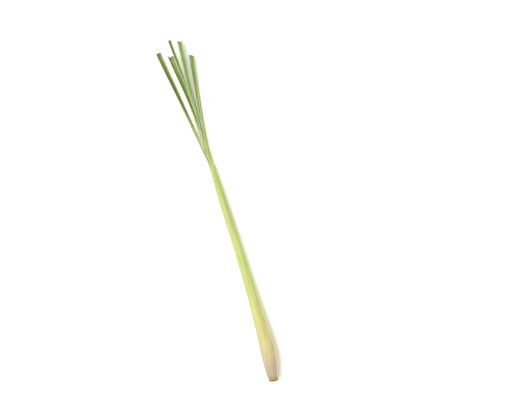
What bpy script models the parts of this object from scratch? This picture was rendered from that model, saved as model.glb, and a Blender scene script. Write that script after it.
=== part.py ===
"""A cut lemongrass stalk, lying on its side on a level surface.

A short solid culm closes the root end. Five leaves grow on it, each one a sheath and a blade in one piece.
The sheaths are rolled one inside the next and make the stalk. The blades leave it one after another, left
and right in turn, and were cut straight across at the top.

The root end points to -Y and the blades to +Y. The origin is on the surface, under the belly of the bulb.
Sizes are in millimetres, and `s` is a distance along the stalk from the root cut.
"""

import math
from dataclasses import dataclass

import bmesh
import bpy
from mathutils import Matrix, Vector

MM = 0.001

# The stalk's outline: its radius at stations along it, widest at the belly of the bulb.
BELLY_AT = 38.0
OUTLINE = (
    (0.0, 4.9),
    (5.0, 6.2),
    (14.0, 7.6),
    (26.0, 8.8),
    (BELLY_AT, 9.2),
    (56.0, 8.1),
    (76.0, 7.0),
    (97.0, 6.2),
    (120.0, 5.7),
    (157.0, 5.1),
    (193.0, 4.7),
    (217.0, 4.35),
    (241.0, 3.75),
    (260.0, 3.2),
    (276.0, 2.95),
    (320.0, 2.6),
)

# Its centre line: a bent root end, a slight sway, and a fall from the bulb towards the blades.
ROOT_BEND = 5.5
ROOT_BEND_LENGTH = 60.0
SWAY = 0.7
SWAY_LENGTH = 230.0
FALL = 0.0165
PRESSED_IN = 0.35
TOUCHES_WITHIN = 0.4

# The rolled sheaths. The layers share the radius out evenly, with a gap between them.
LAYERS_IN_RADIUS = 6.4
LAYER_GAP = 0.25
SHEATH_WRAP = math.radians(175)
MOUTH_WRAP = math.radians(90)
MOUTH_LENGTH = 10.0
SPINDLE_WALL_SHARE = 0.8

# The blades.
BLADE_WALL = 0.5
BLADE_OPENS_IN = 26.0
BLADE_WIDENS_IN = 75.0
BLADE_CURL = math.radians(24)
TURNS_FROM = 0.12
STRAIGHT_TO_TIP = 0.42
CUT_SLOPE = -0.31
CUT_REACHES_BACK = 0.2

# The culm: a visible rim at the cut, and a cone inside the leaves.
CULM_RIM = 3.4
CULM_FIT = 0.15
CULM_CONE = ((3.4, 4.25), (10.0, 4.05), (16.0, 3.6), (22.0, 2.85), (28.0, 2.0), (33.0, 1.0))
CUT_CHAMFER = 0.5

# How finely the solids are divided.
COLUMNS = 20
CULM_SIDES = 24
SHEATH_STATIONS = (8.0, 14.0, 21.0, 29.0, 35.0, 41.0, 48.0, 58.0, 72.0, 92.0, 120.0, 160.0, 205.0, 240.0)
CLEAR_OF_ROOT = 2.0
CLEAR_OF_MOUTH = 4.0
MOUTH_STEPS = 5
BLADE_STEPS = 14
BLADE_STEPS_GROW = 1.3
SHARP_FROM = math.radians(40)
WELD = 1e-4

# The finishes.
CULM_TAN = (0.55, 0.42, 0.23)
WOOD_ROUGHNESS = 0.7
LEAF_ROUGHNESS = 0.45


@dataclass
class Leaf:
    """One leaf. Its layer is counted from the outermost, and side -1 has the leaf's back to the left."""

    name: str
    layer: int
    side: int
    starts_at: float
    collar_at: float
    blade_reach: float
    tip_across: float
    tip_height: float
    lean_at_tip: float
    bends_over: float
    half_width: float
    fold: float
    twist: float
    roll_at_root: float
    green: tuple


LEAVES = (
    Leaf(
        "outer_leaf", 0, -1, 3.8, 262.0,
        138.7, -22.5, 0.5, 7.0, 0.05, 4.9, 30.0, 50.0, -22.0, (0.30, 0.42, 0.10),
    ),
    Leaf(
        "second_leaf", 1, 1, 10.0, 273.0,
        112.5, 17.5, 1.1, 9.0, 0.16, 4.9, 28.0, 42.0, -30.0, (0.22, 0.38, 0.08),
    ),
    Leaf(
        "third_leaf", 2, -1, 16.0, 283.0,
        108.5, -8.9, 6.4, 6.0, 0.18, 4.6, 21.0, 60.0, 8.0, (0.20, 0.36, 0.09),
    ),
    Leaf(
        "fourth_leaf", 3, 1, 22.0, 292.0,
        112.5, 8.5, 5.9, 4.5, 0.15, 4.2, 22.0, 52.0, 0.0, (0.17, 0.32, 0.09),
    ),
    Leaf(
        "heart_leaf", 4, -1, 33.5, 302.0,
        107.5, -4.3, 11.5, 2.5, 0.3, 3.2, 34.0, 62.0, 0.0, (0.14, 0.28, 0.08),
    ),
)  # fmt: skip


@dataclass
class Row:
    """One cross-section of a leaf: where its midrib is, which way it faces, and how its width is bent."""

    midrib: Vector
    along: Vector
    inward: Vector
    half_width: float
    fold: float
    curl: float
    wall: float
    cut_share: float = 0.0


def smooth_value(stations, at):
    """The value at a place on the smooth curve through (place, value) stations."""
    places = [place for place, _ in stations]
    values = [value for _, value in stations]
    last = len(stations) - 1
    if at <= places[0]:
        return values[0]
    if at >= places[last]:
        return values[last]
    left = max(i for i in range(last) if places[i] <= at)

    def slope(i):
        before, after = max(i - 1, 0), min(i + 1, last)
        return (values[after] - values[before]) / (places[after] - places[before])

    span = places[left + 1] - places[left]
    t = (at - places[left]) / span
    return (
        (2 * t**3 - 3 * t**2 + 1) * values[left]
        + (t**3 - 2 * t**2 + t) * span * slope(left)
        + (3 * t**2 - 2 * t**3) * values[left + 1]
        + (t**3 - t**2) * span * slope(left + 1)
    )


def ease(t):
    """0 to 1, level at both ends."""
    t = min(max(t, 0.0), 1.0)
    return t * t * (3 - 2 * t)


def mix(a, b, t):
    return a + (b - a) * t


def stalk_radius(s):
    return smooth_value(OUTLINE, s)


def layer_pitch(s):
    return stalk_radius(s) / LAYERS_IN_RADIUS


def layer_radius(layer, s):
    """The outer radius of a layer of sheath."""
    return stalk_radius(s) - layer * layer_pitch(s)


def sheath_wall(leaf, s):
    """The sheath's thickness. The heart leaf is rolled tight, almost to a solid rod."""
    if leaf.layer == len(LEAVES) - 1:
        return SPINDLE_WALL_SHARE * layer_radius(leaf.layer, s)
    return layer_pitch(s) - LAYER_GAP


def axis_point(s):
    """A point of the stalk's centre line."""
    bend = max(0.0, 1.0 - s / ROOT_BEND_LENGTH)
    sway = SWAY * math.sin(math.pi * min(max((s - BELLY_AT) / SWAY_LENGTH, 0.0), 1.0)) ** 2
    height = stalk_radius(BELLY_AT) - PRESSED_IN - FALL * (s - BELLY_AT)
    return Vector((sway - ROOT_BEND * bend**2, s - BELLY_AT, height))


def axis_direction(s):
    return (axis_point(s + 1.0) - axis_point(s - 1.0)).normalized()


def sheath_row(leaf, s):
    """A cross-section of the rolled part, whose margins draw back at the mouth."""
    along = axis_direction(s)
    roll = math.radians(leaf.roll_at_root) * (1.0 - s / leaf.collar_at)
    outward = Matrix.Rotation(roll, 3, along) @ Vector((leaf.side, 0.0, 0.0))
    outward = (outward - outward.dot(along) * along).normalized()
    wall = sheath_wall(leaf, s)
    radius = layer_radius(leaf.layer, s) - wall / 2
    opening = ease((s - (leaf.collar_at - MOUTH_LENGTH)) / MOUTH_LENGTH)
    wrap = mix(SHEATH_WRAP, MOUTH_WRAP, opening)
    return Row(axis_point(s) + radius * outward, along, -outward, wrap * radius, 0.0, wrap, wall)


def blade_path(leaf, collar):
    """The four points of the curve that the blade's midrib follows."""
    reach = leaf.blade_reach
    tip = Vector((leaf.tip_across, collar.midrib.y + reach, leaf.tip_height))
    lean = math.radians(leaf.lean_at_tip) * leaf.side
    arriving = Vector((math.sin(lean), math.cos(lean), 0.0))
    return (
        collar.midrib,
        collar.midrib + collar.along * reach * leaf.bends_over,
        tip - arriving * reach * STRAIGHT_TO_TIP,
        tip,
    )


def on_curve(path, t):
    """The point and the direction at t on a four-point curve."""
    a, b, c, d = path
    u = 1.0 - t
    point = u**3 * a + 3 * u**2 * t * b + 3 * u * t**2 * c + t**3 * d
    direction = u**2 * (b - a) + 2 * u * t * (c - b) + t**2 * (d - c)
    return point, direction.normalized()


def blade_row(leaf, collar, path, t):
    """A cross-section of the blade, which opens out of the round mouth into a folded strip and turns."""
    point, along = on_curve(path, t)
    opening = ease(t * leaf.blade_reach / BLADE_OPENS_IN)
    turn = leaf.side * math.radians(leaf.twist) * ease((t - TURNS_FROM) / (1.0 - TURNS_FROM))
    turned = Matrix.Rotation(turn, 3, along) @ collar.inward
    inward = (turned - turned.dot(along) * along).normalized()
    return Row(
        point,
        along,
        inward,
        mix(collar.half_width, leaf.half_width, ease(t * leaf.blade_reach / BLADE_WIDENS_IN)),
        mix(0.0, math.radians(leaf.fold), opening),
        mix(collar.curl, BLADE_CURL, opening),
        mix(collar.wall, BLADE_WALL, ease(2 * opening)),
        ease((t - 1.0) / CUT_REACHES_BACK + 1.0),
    )


def leaf_rows(leaf):
    """The leaf's cross-sections, from the bottom of its sheath to the cut across its blade."""
    mouth = leaf.collar_at - MOUTH_LENGTH
    stations = [leaf.starts_at]
    first, last = leaf.starts_at + CLEAR_OF_ROOT, mouth - CLEAR_OF_MOUTH
    stations += [s for s in SHEATH_STATIONS if first < s < last]
    stations += [mouth + MOUTH_LENGTH * i / MOUTH_STEPS for i in range(MOUTH_STEPS + 1)]
    rows = [sheath_row(leaf, s) for s in stations]
    collar = rows[-1]
    path = blade_path(leaf, collar)
    steps = [(i / BLADE_STEPS) ** BLADE_STEPS_GROW for i in range(1, BLADE_STEPS + 1)]
    return rows + [blade_row(leaf, collar, path, t) for t in steps]


def half_section(row, hand):
    """The points on one half of a cross-section, from the midrib out to the margin."""
    across = hand * row.along.cross(row.inward)
    steps = COLUMNS // 2
    step = row.half_width / steps
    points = [row.midrib]
    for i in range(steps):
        turn = row.fold + row.curl * (i + 0.5) / steps
        points.append(points[-1] + step * (math.cos(turn) * across + math.sin(turn) * row.inward))
    return points


def section_points(row):
    """The points right across the leaf, from one margin to the other. The last row lies on a slanting cut."""
    points = half_section(row, -1)[:0:-1] + half_section(row, 1)
    for point in points:
        aside = point - row.midrib
        point += row.along * row.cut_share * (CUT_SLOPE * aside.x - aside.y)
    return points


def painted(colour, roughness):
    material = bpy.data.materials.new("plant")
    material.use_nodes = True
    shader = material.node_tree.nodes["Principled BSDF"]
    shader.inputs["Base Color"].default_value = (*colour, 1.0)
    shader.inputs["Roughness"].default_value = roughness
    shader.inputs["Metallic"].default_value = 0.0
    return material


def add_piece(name, body, material, at, stalk):
    """An object made from a bmesh in world space, with its own origin, under the stalk's empty."""
    bmesh.ops.translate(body, verts=body.verts, vec=-at)
    mesh = bpy.data.meshes.new(name)
    body.to_mesh(mesh)
    body.free()
    material.name = name
    mesh.materials.append(material)
    piece = bpy.data.objects.new(name, mesh)
    piece.location = at
    piece.parent = stalk
    bpy.context.scene.collection.objects.link(piece)
    return piece


def press_on_surface(piece):
    """Where the piece reaches the surface it lies on, it is pressed flat."""
    floor = -piece.location.z
    for vertex in piece.data.vertices:
        if vertex.co.z < floor + TOUCHES_WITHIN * MM:
            vertex.co.z = floor


def shade(piece):
    piece.data.shade_smooth()
    piece.data.set_sharp_from_angle(angle=SHARP_FROM)


def make_leaf(leaf, stalk):
    """A grid bent into the leaf's middle surface, and thickened by the wall of each row."""
    rows = leaf_rows(leaf)
    body = bmesh.new()
    bmesh.ops.create_grid(body, x_segments=COLUMNS, y_segments=len(rows) - 1, size=1.0)
    body.verts.ensure_lookup_table()
    points = [point for row in rows for point in section_points(row)]
    for vertex, point in zip(body.verts, points):
        vertex.co = point * MM
    bmesh.ops.recalc_face_normals(body, faces=body.faces)
    skin = painted(leaf.green, LEAF_ROUGHNESS)
    piece = add_piece(leaf.name, body, skin, axis_point(leaf.starts_at) * MM, stalk)

    thickest = max(row.wall for row in rows)
    walls = piece.vertex_groups.new(name="wall")
    for i, row in enumerate(rows):
        across = range(i * (COLUMNS + 1), (i + 1) * (COLUMNS + 1))
        walls.add(list(across), row.wall / thickest, "REPLACE")
    thicken = piece.modifiers.new("Wall", "SOLIDIFY")
    thicken.thickness = thickest * MM
    thicken.offset = 0.0
    thicken.use_even_offset = True
    thicken.vertex_group = walls.name
    with bpy.context.temp_override(object=piece, active_object=piece):
        bpy.ops.object.modifier_apply(modifier=thicken.name)
    press_on_surface(piece)
    shade(piece)


def make_culm(stalk):
    """The solid root end: a cut face, a rim as wide as the stalk, and a cone that the leaves grow round."""
    outline = [(0.0, 0.0), (0.0, stalk_radius(0.0) - CUT_CHAMFER)]
    outline += [(s, stalk_radius(s) - CULM_FIT) for s in (CUT_CHAMFER, CULM_RIM / 2, CULM_RIM)]
    outline += list(CULM_CONE)
    outline.append((CULM_CONE[-1][0], 0.0))
    body = bmesh.new()
    profile = [body.verts.new((radius, s, 0.0)) for s, radius in outline]
    edges = [body.edges.new(pair) for pair in zip(profile, profile[1:])]
    bmesh.ops.spin(
        body,
        geom=profile + edges,
        cent=(0.0, 0.0, 0.0),
        axis=(0.0, 1.0, 0.0),
        angle=2 * math.pi,
        steps=CULM_SIDES,
        use_merge=True,
    )
    bmesh.ops.remove_doubles(body, verts=body.verts, dist=WELD)
    bmesh.ops.recalc_face_normals(body, faces=body.faces)
    for vertex in body.verts:
        sideways, s, upwards = vertex.co
        along = axis_direction(s)
        across = along.cross(Vector((0.0, 0.0, 1.0))).normalized()
        vertex.co = (axis_point(s) + sideways * across + upwards * across.cross(along)) * MM
    shade(add_piece("culm", body, painted(CULM_TAN, WOOD_ROUGHNESS), axis_point(0.0) * MM, stalk))


def main():
    for old in list(bpy.data.objects):
        bpy.data.objects.remove(old)
    stalk = bpy.data.objects.new("lemongrass_stalk", None)
    bpy.context.scene.collection.objects.link(stalk)
    make_culm(stalk)
    for leaf in LEAVES:
        make_leaf(leaf, stalk)


main()
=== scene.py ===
"""A cut lemongrass stalk, lying on its side on a white worktop.

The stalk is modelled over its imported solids: a woody root end, and five leaves that are rolled one inside the
next and end in folded blades. Run this file in Blender, or read it as an add-on: its sizes and colours are
properties, and each piece has its own operator.

Distances in the leaf code are in millimetres, and `s` is a distance along the stalk from the root cut.
"""

import math
from dataclasses import dataclass

import bpy
from bpy.props import FloatProperty, FloatVectorProperty, PointerProperty
from bpy.types import Operator, Panel, PropertyGroup
from mathutils import Matrix, Vector, noise


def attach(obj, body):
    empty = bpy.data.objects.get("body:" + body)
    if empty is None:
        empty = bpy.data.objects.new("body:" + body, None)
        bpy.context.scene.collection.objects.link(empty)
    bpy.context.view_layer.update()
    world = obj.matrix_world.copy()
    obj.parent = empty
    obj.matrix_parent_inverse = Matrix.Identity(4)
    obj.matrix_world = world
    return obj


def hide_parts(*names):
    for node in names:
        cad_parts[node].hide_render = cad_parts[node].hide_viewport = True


bl_info = {
    "name": "Lemongrass Stalk",
    "version": (1, 0, 0),
    "blender": (4, 5, 0),
    "location": "3D View > Sidebar > Lemongrass",
    "description": "Models a cut lemongrass stalk that lies on its side",
    "category": "Object",
}

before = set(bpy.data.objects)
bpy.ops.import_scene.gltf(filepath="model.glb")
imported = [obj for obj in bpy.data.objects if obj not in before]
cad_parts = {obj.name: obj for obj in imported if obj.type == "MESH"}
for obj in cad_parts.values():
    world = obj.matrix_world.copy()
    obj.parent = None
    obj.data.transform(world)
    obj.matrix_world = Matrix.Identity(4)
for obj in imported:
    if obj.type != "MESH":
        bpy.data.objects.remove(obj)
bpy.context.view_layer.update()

MM = 0.001

# The stalk's outline and centre line, as in the solids.
BELLY_AT = 38.0
OUTLINE = (
    (0.0, 4.9),
    (5.0, 6.2),
    (14.0, 7.6),
    (26.0, 8.8),
    (BELLY_AT, 9.2),
    (56.0, 8.1),
    (76.0, 7.0),
    (97.0, 6.2),
    (120.0, 5.7),
    (157.0, 5.1),
    (193.0, 4.7),
    (217.0, 4.35),
    (241.0, 3.75),
    (260.0, 3.2),
    (276.0, 2.95),
    (320.0, 2.6),
)
ROOT_BEND = 5.5
ROOT_BEND_LENGTH = 60.0
SWAY = 0.7
SWAY_LENGTH = 230.0
FALL = 0.0165
PRESSED_IN = 0.35

# The rolled sheaths and the blades, as in the solids.
LAYERS_IN_RADIUS = 6.4
LAYER_GAP = 0.25
SHEATH_WRAP = 175.0
MOUTH_WRAP = 90.0
MOUTH_LENGTH = 10.0
SPINDLE_WALL_SHARE = 0.8
BLADE_OPENS_IN = 26.0
BLADE_CURL = 24.0
STRAIGHT_TO_TIP = 0.42
TURNS_FROM = 0.12
CUT_SLOPE = -0.31
CUT_REACHES_BACK = 0.2
NOTCH_HALF_WIDTH = 2.6
BLADE_MARGIN_WALL = 0.5

# A blade narrows past its foot, then widens nearly to its tip. Both places are shares of its length.
NECK_WIDTH = 0.6
NECK_AT = 0.29
WIDEST_FROM = 0.94

# The inner leaves have less room to be uneven, and ribs stand out less on a blade.
INNER_ROOM = 0.2
RIB_ON_BLADE = 0.6

# Half the width of the midrib, and how far apart the uneven places are along a leaf. The width of a blade
# wanders by a share of itself.
MIDRIB_HALF_WIDTH = 0.7
LUMP_LENGTH = 30.0
RIDGE_LENGTH = 90.0
RIB_LENGTH = 70.0
RIPPLE_LENGTH = 17.0
WIDTH_LENGTH = 22.0
WIDTH_WANDERS = 0.03

# The outermost leaf's margins: the lower one runs on over the upper one, and both are thin.
FLAP_WRAP = 198.0
TUCKED_WRAP = 177.0
FLAP_WAVES = 1.8
FLAP_WAVE_LENGTH = 24.0
FLAP_RAGGED_LENGTH = 7.0
FLAP_THINS_FROM = 0.84
TUCKED_THINS_FROM = 0.9
FLAP_WALL = 0.4
TUCKED_WALL = 0.55
FLAP_STANDS_UP = 0.03

# The ligule starts inside the mouth, in the gap between its sheath and the next leaf, and leans outwards.
LIGULE_STARTS = 1.2
LIGULE_IN_GAP = 0.6
LIGULE_LEANS = 0.12
LIGULE_REACH = 84.0
LIGULE_WALL = 0.1
LIGULE_RAGGED = 0.5
LIGULE_COLUMNS = 24
LIGULE_STEPS = 4

# How finely the leaves are divided before they are subdivided once.
COLUMNS = 40
SHEATH_STEP = 4.0
HIDDEN_STEP = 12.0
SHOWS_FROM = 40.0
MOUTH_STEPS = 6
BLADE_STEPS = 42
BLADE_STEPS_GROW = 1.15
EDGE_STEP = 0.4

SMOOTH_UP_TO = math.radians(50.0)

# The attribute that holds each point's distance from the midrib, along the leaf and to the margin.
PLACE = "leaf_place"


@dataclass(frozen=True)
class Leaf:
    """One leaf. Its layer is counted from the outermost, and side -1 has the leaf's back to the left."""

    node: str
    layer: int
    side: int
    starts_at: float
    collar_at: float
    blade_reach: float
    tip_across: float
    tip_height: float
    lean_at_tip: float
    bends_over: float
    half_width: float
    fold: float
    twist: float
    roll_at_root: float
    notch: float
    # How strongly a blade's margins are drawn pale, partly as a painted highlight along them.
    pale_margin_and_highlight: float
    # Greens of the back and of the face, each low, middle and tip. The face greens are darker, partly the
    # face's own colour and partly painted shade in the blade's folded channel.
    back_greens: tuple
    face_greens_and_fold_shade: tuple


LEAVES = (
    Leaf(
        "outer_leaf", 0, -1, 3.8, 262.0, 138.7, -22.5, 0.5, 7.0, 0.05, 4.9, 30.0, 50.0, -22.0, 2.4, 0.4,
        ("#8B9C49", "#687D34", "#727F3C"), ("#7E903B", "#5F7229", "#687536"),
    ),
    Leaf(
        "second_leaf", 1, 1, 10.0, 273.0, 112.5, 17.5, 1.1, 9.0, 0.16, 4.9, 28.0, 42.0, -30.0, 1.4, 0.8,
        ("#93A64A", "#6F8E36", "#74923F"), ("#809A3A", "#5F822A", "#6A8B36"),
    ),
    Leaf(
        "third_leaf", 2, -1, 16.0, 283.0, 108.5, -8.9, 6.4, 6.0, 0.18, 4.6, 21.0, 60.0, 8.0, 1.8, 0.9,
        ("#94A84C", "#729139", "#78934C"), ("#809C38", "#5D8128", "#6B8B3E"),
    ),
    Leaf(
        "fourth_leaf", 3, 1, 22.0, 292.0, 112.5, 8.5, 5.9, 4.5, 0.15, 4.2, 22.0, 52.0, 0.0, 1.0, 0.8,
        ("#86A044", "#688A38", "#6C8C46"), ("#739036", "#547A28", "#60833A"),
    ),
    Leaf(
        "heart_leaf", 4, -1, 33.5, 302.0, 107.5, -4.3, 11.5, 2.5, 0.3, 3.2, 34.0, 62.0, 0.0, 1.5, 0.9,
        ("#759238", "#50702D", "#506838"), ("#63842D", "#426523", "#476630"),
    ),
)  # fmt: skip


def linear(code):
    """An sRGB hex colour as linear RGBA."""
    parts = [int(code[i : i + 2], 16) / 255 for i in (1, 3, 5)]
    return tuple(c / 12.92 if c <= 0.04045 else ((c + 0.055) / 1.055) ** 2.4 for c in parts) + (1.0,)


def colour_property(label, code, words):
    return FloatVectorProperty(
        name=label, description=words, subtype="COLOR", size=4, min=0.0, max=1.0, default=linear(code)
    )


class LemongrassShape(PropertyGroup):
    """The sizes that make one stalk's surface different from another's."""

    blade_wall: FloatProperty(
        name="Blade Thickness", description="Thickness of a blade beside its midrib", unit="LENGTH",
        default=0.0005, min=0.0002, max=0.001,
    )
    midrib_share: FloatProperty(
        name="Midrib", description="How much thicker a blade is at its midrib", subtype="FACTOR",
        default=0.7, min=0.0, max=2.0,
    )
    vein_spacing: FloatProperty(
        name="Vein Spacing", description="Distance between the fine veins", unit="LENGTH",
        default=0.0006, min=0.0003, max=0.002,
    )
    vein_height: FloatProperty(
        name="Vein Height", description="How far the veins stand out", unit="LENGTH",
        default=0.00004, min=0.0, max=0.0002,
    )
    unevenness: FloatProperty(
        name="Unevenness", description="How far the rolled stem is from round", unit="LENGTH",
        default=0.00016, min=0.0, max=0.0005,
    )
    rib_height: FloatProperty(
        name="Rib Height", description="How far the ribs stand out, twenty across a leaf", unit="LENGTH",
        default=0.00015, min=0.0, max=0.0004,
    )
    ripple: FloatProperty(
        name="Ripple", description="How far a blade's margins wave", unit="LENGTH",
        default=0.00035, min=0.0, max=0.002,
    )
    fraying: FloatProperty(
        name="Fraying", description="How ragged the cuts across the blades are", unit="LENGTH",
        default=0.0004, min=0.0, max=0.002,
    )
    ligule_height: FloatProperty(
        name="Ligule Height", description="Height of the membrane at the foot of a blade", unit="LENGTH",
        default=0.0022, min=0.0005, max=0.005,
    )


class LemongrassColours(PropertyGroup):
    """The colours along the stalk. Each leaf's own greens are with its sizes."""

    root: colour_property("Root", "#A68B60", "Dry skin at the root cut")
    bulb_low: colour_property("Lower Bulb", "#A79781", "Pale mauve skin at the foot of the bulb")
    bulb: colour_property("Bulb", "#B4A780", "Cream skin of the bulb")
    shoulder: colour_property("Shoulder", "#B6B071", "Yellow skin above the bulb")
    stem_low: colour_property("Lower Stem", "#B2B76C", "Yellow-green of the lower stem")
    stem: colour_property("Stem", "#ACB668", "Yellow-green of the stem")
    stem_high: colour_property("Upper Stem", "#A6B264", "Green of the upper stem")
    midrib: colour_property("Midrib", "#B2BE84", "Pale midrib of a blade")
    # Pale cream of papery tissue. On the outer sheath's lapping margin and on the rims it is also a painted
    # highlight along the edge.
    papery: colour_property("Sheath Margin and Highlight", "#F2E8BC", "Papery margin that laps over the bulb")
    # Pale green of a blade's thin margins, partly a painted highlight along its edges.
    margin: colour_property("Blade Margin and Highlight", "#C2D488", "Pale, thin margins of a blade")
    collar: colour_property("Collar", "#8F9A5A", "Duller band where a sheath turns into its blade")
    cut: colour_property("Dry Cut", "#626A48", "Dried edge of the cuts across the blades")
    blemish: colour_property("Blemish", "#8A6E3E", "Small dry specks on the stem")
    pith: colour_property("Pith", "#B9A67C", "Paler tissue inside the root end")
    wood: colour_property("Culm", "#AA916A", "Woody root end")
    wood_dark: colour_property("Culm Rings", "#4A3216", "Rings and scars on the root end")
    membrane: colour_property("Ligule", "#A09060", "Papery membrane at the mouth of a sheath")


class LemongrassStage(PropertyGroup):
    """The worktop, the lights and the camera."""

    worktop: colour_property("Worktop", "#FCFBF7", "White surface under the stalk")
    key_power: FloatProperty(
        name="Key Light", description="Power of the large soft light on the left", subtype="POWER",
        default=18.5, min=0.0,
    )
    ambient: FloatProperty(
        name="Surroundings", description="Strength of the even light from all round", default=1.0, min=0.0
    )
    view_width: FloatProperty(
        name="View Width", description="Width of the worktop that the camera sees", unit="LENGTH",
        default=0.5888, min=0.1,
    )


# ---------------------------------------------------------------- shape of the stalk


def smooth_value(stations, at):
    """The value at a place on the smooth curve through (place, value) stations."""
    places = [place for place, _ in stations]
    values = [value for _, value in stations]
    last = len(stations) - 1
    if at <= places[0]:
        return values[0]
    if at >= places[last]:
        return values[last]
    left = max(i for i in range(last) if places[i] <= at)

    def slope(i):
        before, after = max(i - 1, 0), min(i + 1, last)
        return (values[after] - values[before]) / (places[after] - places[before])

    span = places[left + 1] - places[left]
    t = (at - places[left]) / span
    return (
        (2 * t**3 - 3 * t**2 + 1) * values[left]
        + (t**3 - 2 * t**2 + t) * span * slope(left)
        + (3 * t**2 - 2 * t**3) * values[left + 1]
        + (t**3 - t**2) * span * slope(left + 1)
    )


def ease(t):
    """0 to 1, level at both ends."""
    t = min(max(t, 0.0), 1.0)
    return t * t * (3 - 2 * t)


def mix(a, b, t):
    return a + (b - a) * t


def stalk_radius(s):
    return smooth_value(OUTLINE, s)


def axis_point(s):
    """A point of the stalk's centre line."""
    bend = max(0.0, 1.0 - s / ROOT_BEND_LENGTH)
    sway = SWAY * math.sin(math.pi * min(max((s - BELLY_AT) / SWAY_LENGTH, 0.0), 1.0)) ** 2
    height = stalk_radius(BELLY_AT) - PRESSED_IN - FALL * (s - BELLY_AT)
    return Vector((sway - ROOT_BEND * bend**2, s - BELLY_AT, height))


def axis_direction(s):
    return (axis_point(s + 1.0) - axis_point(s - 1.0)).normalized()


# ---------------------------------------------------------------- shape of a leaf


@dataclass
class Row:
    """One cross-section of a leaf. Widths, curls and lifts are (upper half, lower half)."""

    s: float
    midrib: Vector
    along: Vector
    inward: Vector
    half_widths: tuple
    curls: tuple
    fold: float
    wall: float
    margin_walls: tuple
    lifts: tuple
    rolled: float
    blade: float
    cut_share: float = 0.0


def sheath_row(leaf, s):
    """A cross-section of the rolled part, whose margins draw back at the mouth."""
    along = axis_direction(s)
    roll = math.radians(leaf.roll_at_root) * (1.0 - s / leaf.collar_at)
    outward = Matrix.Rotation(roll, 3, along) @ Vector((leaf.side, 0.0, 0.0))
    outward = (outward - outward.dot(along) * along).normalized()
    pitch = stalk_radius(s) / LAYERS_IN_RADIUS
    radius = stalk_radius(s) - leaf.layer * pitch
    wall = pitch - LAYER_GAP
    if leaf.layer == len(LEAVES) - 1:
        wall = SPINDLE_WALL_SHARE * radius
    middle = radius - wall / 2
    opening = ease((s - (leaf.collar_at - MOUTH_LENGTH)) / MOUTH_LENGTH)
    wraps = (TUCKED_WRAP, FLAP_WRAP) if leaf.layer == 0 else (SHEATH_WRAP, SHEATH_WRAP)
    waves = noise.noise(Vector((s / FLAP_WAVE_LENGTH, 1.7, 3.1)))
    waves += 0.4 * noise.noise(Vector((s / FLAP_RAGGED_LENGTH, 6.3, 3.1)))
    wraps = (wraps[0], wraps[1] + FLAP_WAVES * waves)
    curls = tuple(math.radians(mix(wrap, MOUTH_WRAP, opening)) for wrap in wraps)
    margin_walls, lifts = (1.0, 1.0), (0.0, 0.0)
    if leaf.layer == 0:
        margin_walls = (TUCKED_WALL, FLAP_WALL)
        tucked_in = wall * (1.0 - TUCKED_WALL) / 2
        stands_out = wall * (1.0 - FLAP_WALL) / 2 + FLAP_STANDS_UP
        lifts = (-tucked_in * (1.0 - opening), stands_out * (1.0 - opening))
    return Row(
        s=s,
        midrib=axis_point(s) + middle * outward,
        along=along,
        inward=-outward,
        half_widths=tuple(curl * middle for curl in curls),
        curls=curls,
        fold=0.0,
        wall=wall,
        margin_walls=margin_walls,
        lifts=lifts,
        rolled=1.0,
        blade=0.0,
    )


def blade_path(leaf, collar):
    """The four points of the curve that the blade's midrib follows."""
    reach = leaf.blade_reach
    tip = Vector((leaf.tip_across, collar.midrib.y + reach, leaf.tip_height))
    lean = math.radians(leaf.lean_at_tip) * leaf.side
    arriving = Vector((math.sin(lean), math.cos(lean), 0.0))
    leaves_by = collar.midrib + collar.along * reach * leaf.bends_over
    return collar.midrib, leaves_by, tip - arriving * reach * STRAIGHT_TO_TIP, tip


def on_curve(path, t):
    """The point and the direction at t on a four-point curve."""
    a, b, c, d = path
    u = 1.0 - t
    point = u**3 * a + 3 * u**2 * t * b + 3 * u * t**2 * c + t**3 * d
    direction = u**2 * (b - a) + 2 * u * t * (c - b) + t**2 * (d - c)
    return point, direction.normalized()


def blade_row(leaf, collar, path, t, shape):
    """A cross-section of the blade, which opens out of the round mouth into a folded strip and turns."""
    point, along = on_curve(path, t)
    gone = t * leaf.blade_reach
    opening = ease(gone / BLADE_OPENS_IN)
    turn = leaf.side * math.radians(leaf.twist) * ease((t - TURNS_FROM) / (1.0 - TURNS_FROM))
    turned = Matrix.Rotation(turn, 3, along) @ collar.inward
    inward = (turned - turned.dot(along) * along).normalized()
    neck = mix(collar.half_widths[0], leaf.half_width * NECK_WIDTH, ease(t / NECK_AT))
    half_width = mix(neck, leaf.half_width, ease((t - NECK_AT) / (WIDEST_FROM - NECK_AT)))
    half_width *= 1.0 + WIDTH_WANDERS * noise.noise(Vector((gone / WIDTH_LENGTH, leaf.layer * 7.3, 4.1)))
    return Row(
        s=leaf.collar_at + gone,
        midrib=point,
        along=along,
        inward=inward,
        half_widths=(half_width, half_width),
        curls=(mix(collar.curls[0], math.radians(BLADE_CURL), opening),) * 2,
        fold=mix(0.0, math.radians(leaf.fold), opening),
        wall=mix(collar.wall, shape.blade_wall / MM, ease(2 * opening)),
        margin_walls=tuple(mix(share, BLADE_MARGIN_WALL, opening) for share in collar.margin_walls),
        lifts=(0.0, 0.0),
        rolled=1.0 - opening,
        blade=opening,
        cut_share=ease((t - 1.0) / CUT_REACHES_BACK + 1.0),
    )


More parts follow.
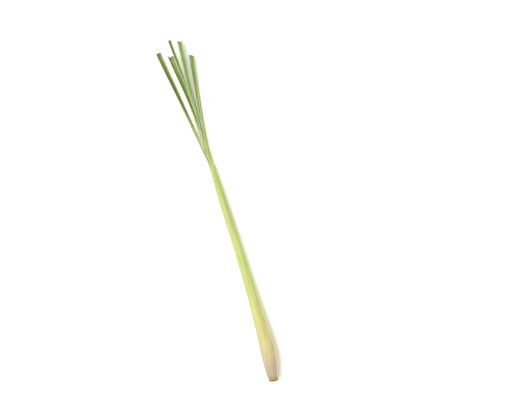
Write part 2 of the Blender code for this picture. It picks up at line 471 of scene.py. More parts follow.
def leaf_rows(leaf, shape):
    """The leaf's cross-sections, from the bottom of its sheath to the cut across its blade."""
    mouth = leaf.collar_at - MOUTH_LENGTH
    stations = [leaf.starts_at, leaf.starts_at + EDGE_STEP]
    shows_from = 0.0 if leaf.layer == 0 else mouth - SHOWS_FROM
    while stations[-1] < mouth - SHEATH_STEP:
        stations.append(stations[-1] + (SHEATH_STEP if stations[-1] >= shows_from else HIDDEN_STEP))
    stations[-1] = min(stations[-1], mouth - SHEATH_STEP / 2)
    stations += [mouth + MOUTH_LENGTH * i / MOUTH_STEPS for i in range(MOUTH_STEPS + 1)]
    rows = [sheath_row(leaf, s) for s in stations]
    collar = rows[-1]
    path = blade_path(leaf, collar)
    steps = [(i / BLADE_STEPS) ** BLADE_STEPS_GROW for i in range(1, BLADE_STEPS)]
    steps += [1.0 - EDGE_STEP / leaf.blade_reach, 1.0]
    return rows + [blade_row(leaf, collar, path, t, shape) for t in steps]


def vein_share(leaf, s):
    """How closely the veins are drawn: they spread over the bulb and run together towards root and mouth."""
    if s >= leaf.collar_at:
        return 1.0
    widest = stalk_radius(max(s, BELLY_AT))
    return math.sqrt(stalk_radius(leaf.collar_at) * widest) / stalk_radius(s)


def lumps(out, s, layer):
    """How uneven a rolled leaf is in one direction from its centre: short lumps and long ridges."""
    short = noise.noise(Vector((out.x * 2.1, out.z * 2.1, s / LUMP_LENGTH + layer * 11.0)))
    return short + 0.5 * noise.noise(Vector((out.x * 5.0, out.z * 5.0, s / RIDGE_LENGTH)))


def half_section(row, hand, leaf, shape):
    """(point, across, to the margin, wall) from the midrib out to one margin."""
    half = 0 if hand < 0 else 1
    across = hand * row.along.cross(row.inward)
    steps = COLUMNS // 2
    width = row.half_widths[half]
    step = width / steps
    point = row.midrib
    centre = axis_point(row.s)
    drawn = hand * vein_share(leaf, row.s)
    thins_from = TUCKED_THINS_FROM if hand < 0 else FLAP_THINS_FROM
    room = 1.0 if leaf.layer == 0 else INNER_ROOM
    wave = noise.noise(Vector((row.s / RIPPLE_LENGTH, hand * 3.7, leaf.layer * 5.9)))
    made = []
    for i in range(steps + 1):
        if i:
            turn = row.fold + row.curls[half] * (i - 0.5) / steps
            point = point + step * (math.cos(turn) * across + math.sin(turn) * row.inward)
        share = i / steps
        placed = point.copy()
        near_margin = ease((share - thins_from) / (1.0 - thins_from))
        rib = (i % 2) * (1.0 - near_margin) * shape.rib_height / MM
        rib *= 1.0 + noise.noise(Vector((hand * i * 0.77, row.s / RIB_LENGTH, leaf.layer * 4.3)))
        if row.rolled > 0.0:
            out = (point - centre).normalized()
            uneven = room * (lumps(out, row.s, leaf.layer) * shape.unevenness / MM + rib)
            placed += out * row.rolled * (uneven + row.lifts[half] * near_margin)
        placed += row.inward * row.blade * share**3 * wave * shape.ripple / MM
        wall = row.wall * mix(1.0, row.margin_walls[half], near_margin)
        wall *= 1.0 + row.blade * shape.midrib_share * math.exp(-((i * step / MIDRIB_HALF_WIDTH) ** 2))
        wall += row.blade * rib * RIB_ON_BLADE
        aside = placed - row.midrib
        notch = leaf.notch * max(0.0, 1.0 - i * step / NOTCH_HALF_WIDTH)
        placed += row.along * row.cut_share * (CUT_SLOPE * aside.x - aside.y - notch)
        made.append((placed, drawn * i * step, width - i * step, wall))
    return made


def section(row, leaf, shape):
    """The whole cross-section, from the upper margin to the lower one."""
    upper = half_section(row, -1, leaf, shape)
    lower = half_section(row, 1, leaf, shape)
    return upper[:0:-1] + lower


# ---------------------------------------------------------------- Blender's tools


def deselect():
    if bpy.context.mode != "OBJECT":
        bpy.ops.object.mode_set(mode="OBJECT")
    bpy.ops.object.select_all(action="DESELECT")


def activate(piece):
    deselect()
    piece.select_set(True)
    bpy.context.view_layer.objects.active = piece


def added(name):
    """The object that the last operator added, under its own name."""
    piece = bpy.context.view_layer.objects.active
    piece.name = name
    piece.data.name = name
    return piece


def apply_modifier(piece, kind, **settings):
    activate(piece)
    modifier = piece.modifiers.new(kind.title(), kind)
    for key, value in settings.items():
        setattr(modifier, key, value)
    bpy.ops.object.modifier_apply(modifier=modifier.name)


def join(piece, others):
    activate(piece)
    for other in others:
        other.select_set(True)
    bpy.ops.object.join()


def settle(piece, node):
    """The piece stands in for its solid, moves with it and never reaches under the worktop."""
    for vertex in piece.data.vertices:
        vertex.co.z = max(vertex.co.z, 0.0)
    activate(piece)
    bpy.ops.object.shade_smooth_by_angle(angle=SMOOTH_UP_TO)
    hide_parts(node)
    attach(piece, "root")


def bent_grid(name, rows, columns):
    """A grid of rows x columns whose points are (place, across, to the margin, wall, s), in millimetres."""
    deselect()
    bpy.ops.mesh.primitive_grid_add(x_subdivisions=columns - 1, y_subdivisions=len(rows) - 1, size=MM)
    sheet = added(name)
    mesh = sheet.data
    points = [point for row in rows for point in row]
    if len(points) != len(mesh.vertices):
        raise RuntimeError(f"{name}: the grid has {len(mesh.vertices)} points, not {len(points)}")
    bpy.ops.object.transform_apply(location=True, rotation=True, scale=True)
    while mesh.uv_layers:
        mesh.uv_layers.remove(mesh.uv_layers[0])
    thickest = max(point[3] for point in points)
    walls = sheet.vertex_groups.new(name="wall")
    for i, (at, _, _, wall, _) in enumerate(points):
        mesh.vertices[i].co = at * MM
        walls.add([i], wall / thickest, "REPLACE")
    place = mesh.attributes.new(PLACE, "FLOAT_VECTOR", "POINT")
    for i, (_, across, to_margin, _, s) in enumerate(points):
        place.data[i].vector = (across, s, to_margin)
    return sheet, walls, thickest


def thicken(sheet, walls, thickest):
    """Gives the sheet its wall. Back, front and edges take the first, second and third material."""
    apply_modifier(
        sheet,
        "SOLIDIFY",
        thickness=thickest * MM,
        offset=0.0,
        use_even_offset=True,
        vertex_group=walls.name,
        material_offset=1,
        material_offset_rim=2,
    )
    sheet.vertex_groups.clear()
    apply_modifier(sheet, "SUBSURF", levels=1, render_levels=1)


def make_leaf(leaf, shape, colours):
    """One leaf in one piece: sheath, mouth with its ligule, and blade."""
    name = leaf.node.replace("_leaf", "") + "_lemongrass_leaf"
    rows = leaf_rows(leaf, shape)
    points = [[(*point, row.s) for point in section(row, leaf, shape)] for row in rows]
    for i, (at, across, to_margin, wall, s) in enumerate(points[-1]):
        ragged = noise.noise(Vector((across * 1.1, leaf.layer * 9.1, 2.5)))
        ragged += 0.8 * noise.noise(Vector((across * 3.3, leaf.layer * 9.1, 6.5)))
        ragged *= shape.fraying / MM
        points[-1][i] = (at + rows[-1].along * ragged, across, to_margin, wall, s)
    sheet, walls, thickest = bent_grid(name, points, COLUMNS + 1)
    for material in leaf_materials(leaf, shape, colours):
        sheet.data.materials.append(material)
    thicken(sheet, walls, thickest)
    join(sheet, [make_ligule(leaf, shape, colours)])
    settle(sheet, leaf.node)


def make_ligule(leaf, shape, colours):
    """The membrane that carries the sheath's inner face on, past the foot of the blade."""
    height = shape.ligule_height / MM
    rows = []
    for step in range(LIGULE_STEPS + 1):
        rise = step / LIGULE_STEPS
        s = leaf.collar_at - LIGULE_STARTS + rise * (height + LIGULE_STARTS)
        base = sheath_row(leaf, min(s, leaf.collar_at))
        radius = stalk_radius(s) * (1.0 - (leaf.layer + 1) / LAYERS_IN_RADIUS) + LAYER_GAP * LIGULE_IN_GAP
        side = base.along.cross(base.inward)
        row = []
        for i in range(LIGULE_COLUMNS + 1):
            turn = math.radians(mix(-LIGULE_REACH, LIGULE_REACH, i / LIGULE_COLUMNS))
            ragged = rise * LIGULE_RAGGED * noise.noise(Vector((i * 0.4, leaf.layer * 3.0, 7.0)))
            out = -base.inward * math.cos(turn) + side * math.sin(turn)
            at = axis_point(s) + out * (radius + LIGULE_LEANS * rise) + base.along * ragged
            row.append((at, turn * radius, 1.0, LIGULE_WALL, s))
        rows.append(row)
    sheet, walls, thickest = bent_grid(leaf.node + "_ligule", rows, LIGULE_COLUMNS + 1)
    sheet.data.materials.append(membrane(f"papery_ligule_{leaf.layer + 1}", colours))
    apply_modifier(
        sheet, "SOLIDIFY", thickness=thickest * MM, offset=0.0, use_even_offset=True, vertex_group=walls.name
    )
    sheet.vertex_groups.clear()
    return sheet


# ---------------------------------------------------------------- the culm

CULM_FIT = 0.1
CUT_FACE = (
    (0.0, 0.3), (1.1, 0.26), (1.5, 0.1), (1.9, 0.27), (2.5, 0.08), (2.9, 0.24), (3.4, 0.05), (3.8, 0.2),
    (4.3, 0.03),
)  # fmt: skip
RIM_SIDE = (
    (0.0, 0.14), (0.12, 0.03), (0.9, 0.0), (1.25, 0.2), (1.55, 0.03), (2.3, 0.05), (2.65, 0.24), (2.95, 0.04),
    (3.5, 0.08), (3.68, 0.3), (3.78, 0.7), (4.0, 0.95),
)  # fmt: skip
CULM_CONE = ((4.25, 4.4), (4.05, 10.0), (3.6, 16.0), (2.85, 22.0), (2.0, 28.0), (1.0, 33.0), (0.0, 33.0))
CULM_SPIN_STEPS = 72
CULM_RIM = 3.4

# Lumps and roughness on the culm: their height, and how often they change round it and along each millimetre.
CULM_UNEVENNESS = ((0.12, 2.3, 0.4), (0.13, 9.0, 1.6))
CUT_UNEVENNESS = 0.25
CUT_UNEVEN_SCALE = 0.35
CUT_UNEVEN_TO = 3.0

# Root scars: how many, how proud and how unevenly spaced they are, and the middle and the spread of their
# place along the culm and of their radius.
NUB_COUNT = 11
NUB_STANDS_OUT = 0.2
NUB_SCATTER = 0.9
NUB_PLACE = (2.0, 1.4)
NUB_RADIUS = (0.75, 0.4)


def make_culm(colours):
    """The root end: a profile spun round the stalk's axis, with root scars, bent as the stalk is.

    The cut face is (radius, s), the side of the rim is (s, depth under the outline), and the hidden cone that
    carries the leaves is (radius, s).
    """
    profile = list(CUT_FACE)
    profile += [(stalk_radius(s) - CULM_FIT - depth, s) for s, depth in RIM_SIDE]
    profile += CULM_CONE

    deselect()
    bpy.ops.mesh.primitive_plane_add(size=MM)
    culm = added("root_end")
    bpy.ops.object.mode_set(mode="EDIT")
    bpy.ops.mesh.merge(type="CENTER")
    radius, s = profile[0]
    bpy.ops.transform.translate(value=(radius * MM, s * MM, 0.0))
    for (radius, s), (next_radius, next_s) in zip(profile, profile[1:]):
        move = ((next_radius - radius) * MM, (next_s - s) * MM, 0.0)
        bpy.ops.mesh.extrude_vertices_move(TRANSFORM_OT_translate={"value": move})
    bpy.ops.mesh.select_all(action="SELECT")
    bpy.ops.mesh.spin(steps=CULM_SPIN_STEPS, angle=math.tau, center=(0.0, 0.0, 0.0), axis=(0.0, 1.0, 0.0))
    bpy.ops.mesh.select_all(action="SELECT")
    bpy.ops.mesh.remove_doubles(threshold=1e-6)
    bpy.ops.mesh.normals_make_consistent(inside=False)
    bpy.ops.object.mode_set(mode="OBJECT")
    culm.data.materials.append(woody_culm(colours))
    apply_modifier(culm, "SUBSURF", levels=1, render_levels=1)
    join(culm, [make_nub(i, culm.data.materials[0]) for i in range(NUB_COUNT)])
    for vertex in culm.data.vertices:
        vertex.co = on_bent_stalk(vertex.co / MM) * MM
    settle(culm, "culm")


def on_bent_stalk(straight):
    """Where a point of the straight, round culm belongs on the real one, which is bent and uneven."""
    sideways, s, upwards = straight
    along = axis_direction(s)
    across = along.cross(Vector((0.0, 0.0, 1.0))).normalized()
    turn = math.atan2(upwards, sideways)
    radius = math.hypot(sideways, upwards)
    round_place = Vector((math.cos(turn), math.sin(turn), 0.0))
    uneven = 0.0
    for height, number, per_mm in CULM_UNEVENNESS:
        uneven += height * noise.noise(round_place * number + Vector((0.0, 0.0, s * per_mm)))
    on_cut = Vector((sideways * CUT_UNEVEN_SCALE, upwards * CUT_UNEVEN_SCALE, 2.9))
    s += CUT_UNEVENNESS * noise.noise(on_cut) * ease(1.0 - s / CUT_UNEVEN_TO)
    radius += uneven * ease(radius / CUT_UNEVEN_TO)
    out = math.cos(turn) * across + math.sin(turn) * across.cross(along)
    return axis_point(s) + radius * out


def make_nub(i, wood):
    """A root scar: a low, blunt knob on the rim."""
    turn = math.tau * (i + NUB_SCATTER * noise.noise(Vector((i * 1.37, 0.5, 0.5)))) / NUB_COUNT
    s = NUB_PLACE[0] + NUB_PLACE[1] * noise.noise(Vector((i * 2.13, 5.5, 0.5)))
    size = NUB_RADIUS[0] + NUB_RADIUS[1] * noise.noise(Vector((i * 1.73, 9.5, 0.5)))
    radius = stalk_radius(s) - CULM_FIT + NUB_STANDS_OUT - size
    place = Vector((radius * math.cos(turn), s, radius * math.sin(turn)))
    deselect()
    bpy.ops.mesh.primitive_ico_sphere_add(subdivisions=2, radius=size * MM, location=place * MM)
    nub = added("root_scar")
    nub.data.materials.append(wood)
    bpy.ops.object.transform_apply(location=True, rotation=True, scale=True)
    return nub


# ---------------------------------------------------------------- materials

# Sockets of a Mix node that mixes colours.
MIX_FACTOR, MIX_A, MIX_B, MIXED = 0, 6, 7, 2

# The distance between two bands of a wave texture whose scale is 1.
WAVE_PITCH = math.tau / 20

LEAF_IOR = 1.45
SHEEN_VARIES = 0.08


def add_node(tree, kind, inputs=None, **settings):
    """A node with its settings. An input is a value, a socket, or a node whose first output feeds it."""
    made = tree.nodes.new(kind)
    for key, value in settings.items():
        setattr(made, key, value)
    for key, value in (inputs or {}).items():
        if isinstance(value, bpy.types.Node):
            value = value.outputs[0]
        if isinstance(value, bpy.types.NodeSocket):
            tree.links.new(value, made.inputs[key])
        else:
            made.inputs[key].default_value = value
    return made


def new_material(name):
    material = bpy.data.materials.new(name)
    material.use_nodes = True
    return material, material.node_tree, material.node_tree.nodes["Principled BSDF"]


def fill_ramp(ramp, stops):
    """Colour stops from (position, linear colour) pairs."""
    elements = ramp.color_ramp.elements
    while len(elements) > 1:
        elements.remove(elements[-1])
    elements[0].position, elements[0].color = stops[0]
    for position, colour in stops[1:]:
        elements.new(position).color = colour


def stem_stops(leaf, greens, colours):
    """(s, colour) along a leaf: tan root, mauve and cream bulb, yellow-green stem, green blade."""
    collar = leaf.collar_at
    low, middle, tip = (linear(code) for code in greens)
    return (
        (0.0, colours.root),
        (4.5, colours.root),
        (9.0, colours.bulb_low),
        (17.0, colours.bulb_low),
        (32.0, colours.bulb),
        (56.0, colours.shoulder),
        (92.0, colours.stem_low),
        (150.0, colours.stem),
        (225.0, colours.stem_high),
        (collar - 10.0, colours.stem_high),
        (collar, low),
        (collar + 14.0, low),
        (collar + 52.0, middle),
        (collar + leaf.blade_reach, tip),
    )


def leaf_skin(name, leaf, greens, shape, colours, roughness):
    """Living leaf skin: a thin waxy cuticle over soft tissue, with fine veins that run its whole length.

    The wax gives a soft sheen, glossier in some streaks than in others, and the tissue lets a little light
    through.
    """
    material, tree, shader = new_material(name)
    place = add_node(tree, "ShaderNodeAttribute", attribute_name=PLACE).outputs["Vector"]
    across, along, to_margin = add_node(tree, "ShaderNodeSeparateXYZ", {0: place}).outputs
    whole = leaf.collar_at + leaf.blade_reach

    # Four kinds of unevenness, by how often they change per millimetre across and along: patches, streaks,
    # shorter mottles and small specks.
    uneven = []
    for per_mm, detail in (((0.12, 0.017), 2.0), ((0.75, 0.011), 3.0), ((0.7, 0.04), 3.0), ((1.7, 0.6), 3.0)):
        stretched = add_node(tree, "ShaderNodeMapping", {"Vector": place, "Scale": (*per_mm, 0.0)})
        changes = {"Vector": stretched, "Scale": 1.0, "Detail": detail}
        uneven.append(add_node(tree, "ShaderNodeTexNoise", changes))
    patches, streaks, mottles, specks = uneven

    # The zones of colour run into each other unevenly: the patches, 8 mm wide and 60 mm long, shift them.
    shift = add_node(
        tree,
        "ShaderNodeMapRange",
        {"Value": patches, "From Min": 0.3, "From Max": 0.7, "To Min": -11.0, "To Max": 11.0},
    )
    from_root = add_node(tree, "ShaderNodeMapRange", {"Value": along, "From Max": 60.0, "To Min": 0.12})
    at = add_node(tree, "ShaderNodeMath", {0: shift, 1: from_root, 2: along}, operation="MULTIPLY_ADD")
    share = add_node(tree, "ShaderNodeMath", {0: at, 1: whole}, operation="DIVIDE")
    zones = add_node(tree, "ShaderNodeValToRGB", {0: share})
    fill_ramp(zones, [(s / whole, colour) for s, colour in stem_stops(leaf, greens, colours)])

    # The streaks and mottles, 1 to 2 mm wide, lighten and darken the skin, most of all on the blade.
    on_blade = add_node(
        tree,
        "ShaderNodeMapRange",
        {"Value": along, "From Min": leaf.collar_at - 8.0, "From Max": leaf.collar_at + 24.0},
    )
    both = add_node(tree, "ShaderNodeMath", {0: streaks, 1: mottles}, operation="ADD")
    centred = add_node(tree, "ShaderNodeMath", {0: both, 1: 1.0}, operation="SUBTRACT")
    depth = add_node(tree, "ShaderNodeMapRange", {"Value": on_blade, "To Min": 0.5, "To Max": 2.1})
    streak_light = add_node(
        tree, "ShaderNodeMath", {0: centred, 1: depth, 2: 1.0}, operation="MULTIPLY_ADD"
    )

    # The veins waver a little, and they stand out more in some streaks than in others.
    vein_place = add_node(tree, "ShaderNodeMapping", {"Vector": place, "Scale": (1.0, 0.2, 0.0)})
    veins = add_node(
        tree,
        "ShaderNodeTexWave",
        {
            "Vector": vein_place,
            "Scale": WAVE_PITCH / (shape.vein_spacing / MM),
            "Distortion": 2.0,
            "Detail": 1.0,
            "Detail Scale": 0.45,
        },
        bands_direction="X",
    )
    vein_strength = add_node(
        tree, "ShaderNodeMapRange", {"Value": streaks, "From Min": 0.36, "From Max": 0.62, "To Min": 0.3}
    )
    vein = add_node(tree, "ShaderNodeMath", {0: veins.outputs["Fac"], 1: vein_strength}, operation="MULTIPLY")
    vein_light = add_node(tree, "ShaderNodeMapRange", {"Value": vein, "To Min": 0.91, "To Max": 1.04})
    light = add_node(tree, "ShaderNodeMath", {0: streak_light, 1: vein_light}, operation="MULTIPLY")
    skin = add_node(tree, "ShaderNodeVectorMath", {0: zones, "Scale": light}, operation="SCALE")

    # The pale midrib shows on the blade only.
    off_midrib = add_node(tree, "ShaderNodeMath", {0: across}, operation="ABSOLUTE")
    midrib = add_node(
        tree,
        "ShaderNodeMapRange",
        {"Value": off_midrib, "From Min": 0.25, "From Max": MIDRIB_HALF_WIDTH, "To Min": 0.55, "To Max": 0.0},
        interpolation_type="SMOOTHSTEP",
    )
    midrib_shows = add_node(tree, "ShaderNodeMath", {0: midrib, 1: on_blade}, operation="MULTIPLY")

    # The sheath's margin is papery on the bulb and green above it. Its pale cream line is partly the margin's
    # own colour and partly a painted highlight along the lapping edge. The blade's is a thin pale line, partly
    # a painted highlight too.
    papery_to = add_node(tree, "ShaderNodeMath", {0: mottles, 1: 2.2, 2: to_margin}, operation="MULTIPLY_ADD")
    papery_edge_and_highlight = add_node(
        tree,
        "ShaderNodeMapRange",
        {"Value": papery_to, "From Min": 1.7, "From Max": 3.0, "To Min": 0.95, "To Max": 0.0},
        interpolation_type="SMOOTHSTEP",
    )
    papery_and_highlight_part = add_node(
        tree,
        "ShaderNodeMapRange",
        {"Value": at, "From Min": 68.0, "From Max": 112.0, "To Min": 1.0, "To Max": 0.2},
    )
    papery = add_node(tree, "ShaderNodeMath", {0: papery_edge_and_highlight, 1: papery_and_highlight_part}, operation="MULTIPLY")
    # The pale line along a blade's margins is partly its own colour and partly a painted highlight.
    margin = add_node(
        tree,
        "ShaderNodeMapRange",
        {"Value": to_margin, "From Min": 0.2, "From Max": 0.8, "To Min": leaf.pale_margin_and_highlight, "To Max": 0.0},
        interpolation_type="SMOOTHSTEP",
    )
    margin_highlight_shows = add_node(tree, "ShaderNodeMath", {0: margin, 1: on_blade}, operation="MULTIPLY")

    # The collar, where the sheath turns into the blade, is a duller band a few millimetres high.
    past_collar = add_node(tree, "ShaderNodeMath", {0: along, 1: leaf.collar_at}, operation="SUBTRACT")
    off_collar = add_node(tree, "ShaderNodeMath", {0: past_collar}, operation="ABSOLUTE")
    collar = add_node(
        tree,
        "ShaderNodeMapRange",
        {"Value": off_collar, "From Min": 0.6, "From Max": 2.8, "To Min": 0.65, "To Max": 0.0},
        interpolation_type="SMOOTHSTEP",
    )

    # Small dry specks, longer than wide, a few on each centimetre of the stem.
    speck = add_node(
        tree, "ShaderNodeMapRange", {"Value": specks, "From Min": 0.73, "From Max": 0.8, "To Max": 0.5}
    )

    # The last 3 mm before the cut have dried, further back along some streaks than others.
    dried_to = add_node(tree, "ShaderNodeMath", {0: both, 1: 5.0, 2: along}, operation="MULTIPLY_ADD")
    dried = add_node(
        tree,
        "ShaderNodeMapRange",
        {"Value": dried_to, "From Min": whole + 1.5, "From Max": whole + 5.0, "To Max": 0.75},
    )
    for share, colour in (
        (midrib_shows, colours.midrib),
        (papery, colours.papery),
        (margin_highlight_shows, colours.margin),
        (collar, colours.collar),
        (speck, colours.blemish),
        (dried, colours.cut),
    ):
        layer = {MIX_FACTOR: share, MIX_A: skin, MIX_B: colour}
        skin = add_node(tree, "ShaderNodeMix", layer, data_type="RGBA").outputs[MIXED]
    tree.links.new(skin, shader.inputs["Base Color"])

    shiny, dull = roughness - SHEEN_VARIES, roughness + SHEEN_VARIES
    sheen = add_node(
        tree,
        "ShaderNodeMapRange",
        {"Value": streaks, "From Min": 0.3, "From Max": 0.7, "To Min": dull, "To Max": shiny},
    )
    tree.links.new(sheen.outputs[0], shader.inputs["Roughness"])
    relief = add_node(tree, "ShaderNodeMath", {0: streaks, 1: 2.5, 2: vein}, operation="MULTIPLY_ADD")
    bump = add_node(
        tree, "ShaderNodeBump", {"Height": relief, "Strength": 1.0, "Distance": shape.vein_height}
    )
    tree.links.new(bump.outputs[0], shader.inputs["Normal"])
    shader.inputs["IOR"].default_value = LEAF_IOR
    shader.inputs["Specular IOR Level"].default_value = 0.35
    shader.inputs["Subsurface Weight"].default_value = 0.1
    shader.inputs["Subsurface Radius"].default_value = (1.0, 0.9, 0.35)
    shader.inputs["Subsurface Scale"].default_value = 0.0015
    return material


def leaf_edge(name, leaf, colours):
    """The edges: pale thin margins, whose paleness is partly a painted highlight along the rims, and cuts that
    have dried dark and dull, with open pores.
    """
    material, tree, shader = new_material(name)
    place = add_node(tree, "ShaderNodeAttribute", attribute_name=PLACE).outputs["Vector"]
    along = add_node(tree, "ShaderNodeSeparateXYZ", {0: place}).outputs["Y"]
    whole = leaf.collar_at + leaf.blade_reach
    share = add_node(tree, "ShaderNodeMath", {0: along, 1: whole}, operation="DIVIDE")
    ramp = add_node(tree, "ShaderNodeValToRGB", {0: share})
    foot = (leaf.starts_at + 2.0) / whole
    fill_ramp(
        ramp,
        [
            (0.0, colours.wood_dark),
            (foot, colours.root),
            # The papery margin on the lower sheath and the pale margin on the blade are partly their own colour
            # and partly a painted highlight along the rim.
            (foot + 0.02, colours.papery),
            (90.0 / whole, colours.papery),
            (110.0 / whole, colours.stem),
            (leaf.collar_at / whole, colours.margin),
            (1.0 - 2.0 / whole, colours.margin),
            (1.0 - 0.5 / whole, colours.cut),
        ],
    )
    stretched = add_node(tree, "ShaderNodeMapping", {"Vector": place, "Scale": (4.0, 1.0, 4.0)})
    pores = add_node(tree, "ShaderNodeTexNoise", {"Vector": stretched, "Scale": 1.0, "Detail": 2.0})
    light = add_node(
        tree,
        "ShaderNodeMapRange",
        {"Value": pores, "From Min": 0.3, "From Max": 0.7, "To Min": 0.8, "To Max": 1.15},
    )
    surface = add_node(tree, "ShaderNodeVectorMath", {0: ramp, "Scale": light}, operation="SCALE")
    tree.links.new(surface.outputs[0], shader.inputs["Base Color"])
    shader.inputs["Roughness"].default_value = 0.6
    shader.inputs["IOR"].default_value = LEAF_IOR
    return material


def leaf_materials(leaf, shape, colours):
    number = leaf.layer + 1
    return (
        leaf_skin(f"waxy_leaf_back_{number}", leaf, leaf.back_greens, shape, colours, 0.46),
        # The face is darker than the back, partly painted shade in the blade's folded channel.
        leaf_skin(f"waxy_leaf_face_{number}", leaf, leaf.face_greens_and_fold_shade, shape, colours, 0.42),
        leaf_edge(f"cut_leaf_edge_{number}", leaf, colours),
    )


def membrane(name, colours):
    """A dead, papery membrane: dull, thin and streaked."""
    material, tree, shader = new_material(name)
    place = add_node(tree, "ShaderNodeAttribute", attribute_name=PLACE).outputs["Vector"]
    stretched = add_node(tree, "ShaderNodeMapping", {"Vector": place, "Scale": (3.0, 0.2, 0.0)})
    fibres = add_node(tree, "ShaderNodeTexNoise", {"Vector": stretched, "Scale": 1.0, "Detail": 2.0})
    streaked = {MIX_FACTOR: fibres, MIX_A: colours.membrane, MIX_B: colours.papery}
    surface = add_node(tree, "ShaderNodeMix", streaked, data_type="RGBA").outputs[MIXED]
    tree.links.new(surface, shader.inputs["Base Color"])
    shader.inputs["Roughness"].default_value = 0.75
    return material


def woody_culm(colours):
    """Dry woody tissue: rings of cut leaf bases, and the dark ends of fibre bundles across the cut face."""
    material, tree, shader = new_material("dry_woody_culm")

    # Places in millimetres from the middle of the cut face. The second axis is the stalk's own direction.
    spot = add_node(tree, "ShaderNodeTexCoord").outputs["Object"]
    turn = Vector((0.0, 1.0, 0.0)).rotation_difference(axis_direction(0.0)).to_euler()
    local = add_node(
        tree,
        "ShaderNodeMapping",
        {"Vector": spot, "Location": axis_point(0.0) * MM, "Rotation": turn},
        vector_type="TEXTURE",
    )
    scaled = add_node(tree, "ShaderNodeVectorMath", {0: local, "Scale": 1.0 / MM}, operation="SCALE")
    side, deep, up = add_node(tree, "ShaderNodeSeparateXYZ", {0: scaled}).outputs
    flat = add_node(tree, "ShaderNodeCombineXYZ", {0: side, 2: up})
    radius = add_node(tree, "ShaderNodeVectorMath", {0: flat}, operation="LENGTH").outputs["Value"]
    on_cut = add_node(tree, "ShaderNodeMapRange", {"Value": deep, "From Min": 0.75, "From Max": 0.45})

    # The grain's mottles, a ring about every millimetre that wavers with the grain, and the fibre bundles.
    grain = add_node(tree, "ShaderNodeTexNoise", {"Vector": scaled, "Scale": 1.1, "Detail": 5.0})
    mottle = add_node(
        tree, "ShaderNodeMapRange", {"Value": grain, "From Min": 0.42, "From Max": 0.75, "To Max": 0.5}
    )
    uneven = add_node(tree, "ShaderNodeMath", {0: grain, 1: 1.1, 2: radius}, operation="MULTIPLY_ADD")
    phase = add_node(tree, "ShaderNodeMath", {0: uneven, 1: 6.5}, operation="MULTIPLY")
    wave = add_node(tree, "ShaderNodeMath", {0: phase}, operation="SINE")
    rings = add_node(tree, "ShaderNodeMapRange", {"Value": wave, "From Min": 0.2, "To Max": 0.5})
    bundles = add_node(tree, "ShaderNodeTexVoronoi", {"Vector": flat, "Scale": 2.6}).outputs["Distance"]
    dots = add_node(
        tree, "ShaderNodeMapRange", {"Value": bundles, "From Min": 0.3, "From Max": 0.12, "To Max": 0.75}
    )

    # The edge of the cut has dried darkest, unevenly, and the tips of the root scars are dark too.
    rim = stalk_radius(0.0) - CULM_FIT
    outer = add_node(
        tree,
        "ShaderNodeMapRange",
        {"Value": radius, "From Min": rim - 0.9, "From Max": rim - 0.35, "To Max": 0.95},
    )
    dried_to = add_node(tree, "ShaderNodeMath", {0: grain, 1: -3.0, 2: deep}, operation="MULTIPLY_ADD")
    near_cut = add_node(tree, "ShaderNodeMapRange", {"Value": dried_to, "From Min": 0.4, "From Max": -0.3})
    band = add_node(tree, "ShaderNodeMath", {0: outer, 1: near_cut}, operation="MULTIPLY")
    crust = add_node(tree, "ShaderNodeTexNoise", {"Vector": scaled, "Scale": 2.3, "Detail": 4.0})
    patchy = add_node(
        tree, "ShaderNodeMapRange", {"Value": crust, "From Min": 0.34, "From Max": 0.54, "To Min": 0.74}
    )
    rim_slope = (stalk_radius(CULM_RIM) - stalk_radius(0.0)) / CULM_RIM
    proud = add_node(tree, "ShaderNodeMath", {0: deep, 1: -rim_slope, 2: radius}, operation="MULTIPLY_ADD")
    scars = add_node(
        tree,
        "ShaderNodeMapRange",
        {"Value": proud, "From Min": rim + 0.08, "From Max": rim + 0.2, "To Max": 0.6},
    )

    dark = add_node(tree, "ShaderNodeMath", {0: mottle, 1: scars}, operation="MAXIMUM")
    for mark, where in ((dots, on_cut), (rings, on_cut), (band, patchy)):
        shown = add_node(tree, "ShaderNodeMath", {0: mark, 1: where}, operation="MULTIPLY")
        dark = add_node(tree, "ShaderNodeMath", {0: dark, 1: shown}, operation="MAXIMUM")
    surface = colours.wood
    for share, colour in ((on_cut, colours.pith), (dark, colours.wood_dark)):
        layer = {MIX_FACTOR: share, MIX_A: surface, MIX_B: colour}
        surface = add_node(tree, "ShaderNodeMix", layer, data_type="RGBA").outputs[MIXED]
    tree.links.new(surface, shader.inputs["Base Color"])
    pitted = {"Height": dark, "Strength": 0.7, "Distance": 0.00015}
    bump = add_node(tree, "ShaderNodeBump", pitted, invert=True)
    tree.links.new(bump.outputs[0], shader.inputs["Normal"])
    shader.inputs["Roughness"].default_value = 0.8
    shader.inputs["Specular IOR Level"].default_value = 0.2
    return material


# ---------------------------------------------------------------- the stage

# The camera looks straight down on a point beside the stalk, which slants to the left in its view.
VIEWED = Vector((0.037, 0.1661, 0.006))
SLANT = math.radians(17.3)
LENS = 85.0

# The key light is a large disk up on the left. It is aimed a little left of the point that is viewed.
KEY_AIM = Vector((-0.03, 0.0, 0.0))
KEY_FROM = Vector((-0.65, 0.3, 1.3))
KEY_SIZE = 1.2
KEY_COLOUR = (1.0, 1.0, 0.985)
SURROUNDINGS_COLOUR = (1.0, 0.988, 0.965, 1.0)

WORKTOP_SIZE = 6.0
UNDER_STALK = 0.0002


def matte_worktop(colour):
    """White laminate, matt: it takes soft shadows and shows no reflections."""
    material, tree, shader = new_material("matt_white_worktop")
    grain = add_node(tree, "ShaderNodeTexNoise", {"Scale": 900.0, "Detail": 2.0})
    light = add_node(tree, "ShaderNodeMapRange", {"Value": grain, "To Min": 0.985})
    surface = add_node(tree, "ShaderNodeVectorMath", {0: colour, "Scale": light}, operation="SCALE")
    tree.links.new(surface.outputs[0], shader.inputs["Base Color"])
    shader.inputs["Roughness"].default_value = 0.9
    shader.inputs["Specular IOR Level"].default_value = 0.1
    return material


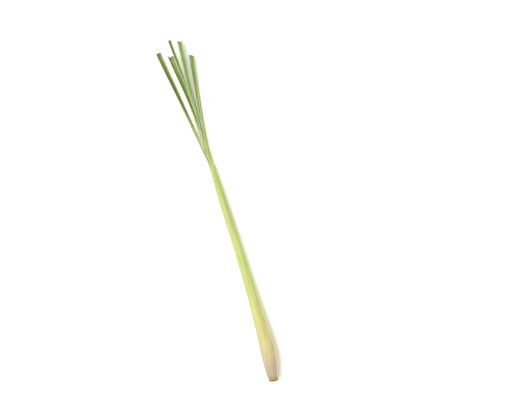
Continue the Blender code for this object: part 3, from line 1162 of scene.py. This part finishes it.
def make_stage(settings):
    """A white worktop, a large soft light, even surroundings and a camera straight above."""
    scene = bpy.context.scene
    deselect()
    bpy.ops.mesh.primitive_plane_add(size=WORKTOP_SIZE, location=(0.0, 0.0, -UNDER_STALK))
    worktop = added("worktop")
    bpy.ops.object.transform_apply(location=True, rotation=True, scale=True)
    worktop.data.materials.append(matte_worktop(tuple(settings.worktop[:3])))

    bpy.ops.object.camera_add(rotation=(0.0, 0.0, -SLANT))
    camera = added("overhead_camera")
    camera.data.lens = LENS
    distance = settings.view_width * camera.data.lens / camera.data.sensor_width
    camera.location = VIEWED + Vector((0.0, 0.0, distance))
    scene.camera = camera

    bpy.ops.object.light_add(type="AREA", location=VIEWED + KEY_AIM + KEY_FROM)
    key = added("key_light")
    key.data.shape = "DISK"
    key.data.size = KEY_SIZE
    key.data.energy = settings.key_power
    key.data.color = KEY_COLOUR
    key.rotation_euler = (-KEY_FROM).to_track_quat("-Z", "Y").to_euler()

    world = bpy.data.worlds.new("surroundings")
    world.use_nodes = True
    sky = world.node_tree.nodes["Background"]
    sky.inputs["Color"].default_value = SURROUNDINGS_COLOUR
    sky.inputs["Strength"].default_value = settings.ambient
    scene.world = world
    scene.view_settings.view_transform = "Standard"
    scene.view_settings.look = "None"


# ---------------------------------------------------------------- add-on


class LEMONGRASS_OT_culm(Operator):
    """Model the woody root end"""

    bl_idname = "lemongrass.culm"
    bl_label = "Make Root End"

    def execute(self, context):
        make_culm(context.scene.lemongrass_colours)
        return {"FINISHED"}


class LEMONGRASS_OT_outer_leaf(Operator):
    """Model the outermost leaf, which is the skin of the stem and the bulb"""

    bl_idname = "lemongrass.outer_leaf"
    bl_label = "Make Outer Leaf"

    def execute(self, context):
        scene = context.scene
        make_leaf(LEAVES[0], scene.lemongrass_shape, scene.lemongrass_colours)
        return {"FINISHED"}


class LEMONGRASS_OT_inner_leaves(Operator):
    """Model the leaves that are rolled inside the outermost one"""

    bl_idname = "lemongrass.inner_leaves"
    bl_label = "Make Inner Leaves"

    def execute(self, context):
        scene = context.scene
        for leaf in LEAVES[1:]:
            make_leaf(leaf, scene.lemongrass_shape, scene.lemongrass_colours)
        return {"FINISHED"}


class LEMONGRASS_OT_stage(Operator):
    """Set up the worktop, the lights and the camera"""

    bl_idname = "lemongrass.stage"
    bl_label = "Make Stage"

    def execute(self, context):
        make_stage(context.scene.lemongrass_stage)
        return {"FINISHED"}


class LEMONGRASS_PT_panel(Panel):
    """The stalk's pieces, sizes and colours"""

    bl_idname = "LEMONGRASS_PT_panel"
    bl_label = "Lemongrass Stalk"
    bl_space_type = "VIEW_3D"
    bl_region_type = "UI"
    bl_category = "Lemongrass"

    def draw(self, context):
        layout = self.layout
        for operator in (
            LEMONGRASS_OT_culm,
            LEMONGRASS_OT_outer_leaf,
            LEMONGRASS_OT_inner_leaves,
            LEMONGRASS_OT_stage,
        ):
            layout.operator(operator.bl_idname)
        scene = context.scene
        for group in (scene.lemongrass_shape, scene.lemongrass_colours, scene.lemongrass_stage):
            box = layout.box()
            for key in group.__annotations__:
                box.prop(group, key)


GROUPS = {
    "lemongrass_shape": LemongrassShape,
    "lemongrass_colours": LemongrassColours,
    "lemongrass_stage": LemongrassStage,
}
CLASSES = (
    *GROUPS.values(),
    LEMONGRASS_OT_culm,
    LEMONGRASS_OT_outer_leaf,
    LEMONGRASS_OT_inner_leaves,
    LEMONGRASS_OT_stage,
    LEMONGRASS_PT_panel,
)


def register():
    for cls in CLASSES:
        bpy.utils.register_class(cls)
    for name, group in GROUPS.items():
        setattr(bpy.types.Scene, name, PointerProperty(type=group))


def unregister():
    for name in GROUPS:
        delattr(bpy.types.Scene, name)
    for cls in reversed(CLASSES):
        bpy.utils.unregister_class(cls)


def main():
    register()
    bpy.ops.lemongrass.stage()
    bpy.ops.lemongrass.culm()
    bpy.ops.lemongrass.outer_leaf()
    bpy.ops.lemongrass.inner_leaves()


if __name__ == "__main__":
    main()
